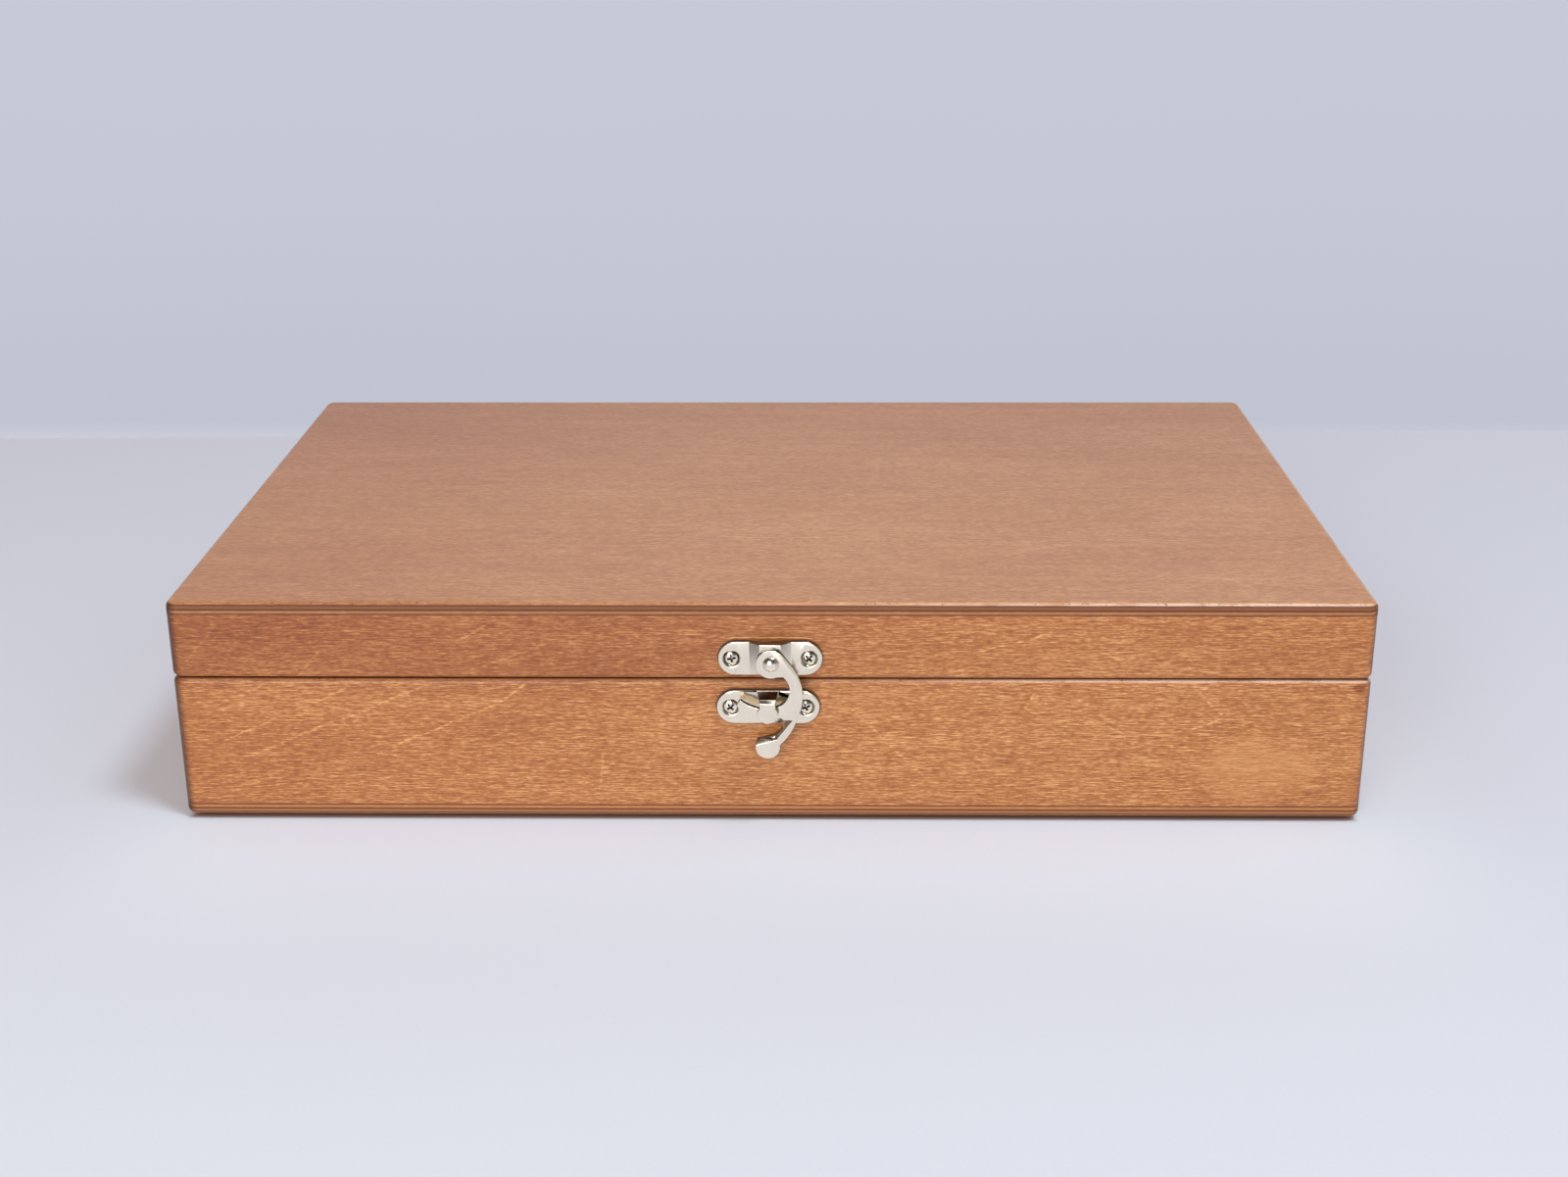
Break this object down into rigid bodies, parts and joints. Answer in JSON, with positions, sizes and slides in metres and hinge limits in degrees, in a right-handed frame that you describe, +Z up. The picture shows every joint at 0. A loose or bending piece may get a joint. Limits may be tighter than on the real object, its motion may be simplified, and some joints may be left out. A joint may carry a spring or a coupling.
{
  "type": "compartment collection box",
  "caption": "Flat stained plywood case with a hinged lid, a divided tray inside, and a small nickel swing-hook clasp on the front.",
  "frame": {"origin": "on the table, under the middle of the whole outline with clasp and hinge barrels counted", "axes": "+X along the case to the right as seen from the clasp, +Y from the clasp side to the hinge side, +Z up"},
  "size_m": [0.32, 0.2098, 0.0633],
  "materials": {
    "stained_wall_ply": "satin varnish",
    "stained_panel_ply": "satin varnish",
    "divider_ply": "sanded",
    "nickel_hardware": "polished nickel",
    "nickel_screws": "polished nickel",
    "foot_rubber": "matt"
  },
  "bodies": {
    "base": {"bottom_panel": "stained_panel_ply", "base_front_wall": "stained_wall_ply", "base_back_wall": "stained_wall_ply", "base_left_wall": "stained_wall_ply", "base_right_wall": "stained_wall_ply", "long_divider_1": "divider_ply", "long_divider_2": "divider_ply", "long_divider_3": "divider_ply", "cross_divider_1": "divider_ply", "cross_divider_2": "divider_ply", "cross_divider_3": "divider_ply", "cross_divider_4": "divider_ply", "cross_divider_5": "divider_ply", "foot_front_left": "foot_rubber", "foot_front_right": "foot_rubber", "foot_back_left": "foot_rubber", "foot_back_right": "foot_rubber", "keeper_plate": "nickel_hardware", "keeper_screws": "nickel_screws", "left_hinge_base_leaf": "nickel_hardware", "right_hinge_base_leaf": "nickel_hardware", "left_hinge_pin": "nickel_hardware", "right_hinge_pin": "nickel_hardware", "hinge_base_screws": "nickel_screws"},
    "lid": {"lid_top_panel": "stained_panel_ply", "lid_front_wall": "stained_wall_ply", "lid_back_wall": "stained_wall_ply", "lid_left_wall": "stained_wall_ply", "lid_right_wall": "stained_wall_ply", "hook_plate": "nickel_hardware", "hook_plate_screws": "nickel_screws", "hook_rivet": "nickel_hardware", "left_hinge_lid_leaf": "nickel_hardware", "right_hinge_lid_leaf": "nickel_hardware", "hinge_lid_screws": "nickel_screws"},
    "hook": {"swing_hook": "nickel_hardware"}
  },
  "joints": [
    {"name": "lid_hinge", "type": "hinge", "parent": "base", "child": "lid", "pos_m": [0, 0.1033, 0.0417], "axis": [-1, 0, 0], "range_deg": [0, 180]},
    {"name": "hook_swing", "type": "hinge", "parent": "lid", "child": "hook", "pos_m": [0.00045, -0.1028, 0.0481], "axis": [0, -1, 0], "range_deg": [0, 120]}
  ]
}
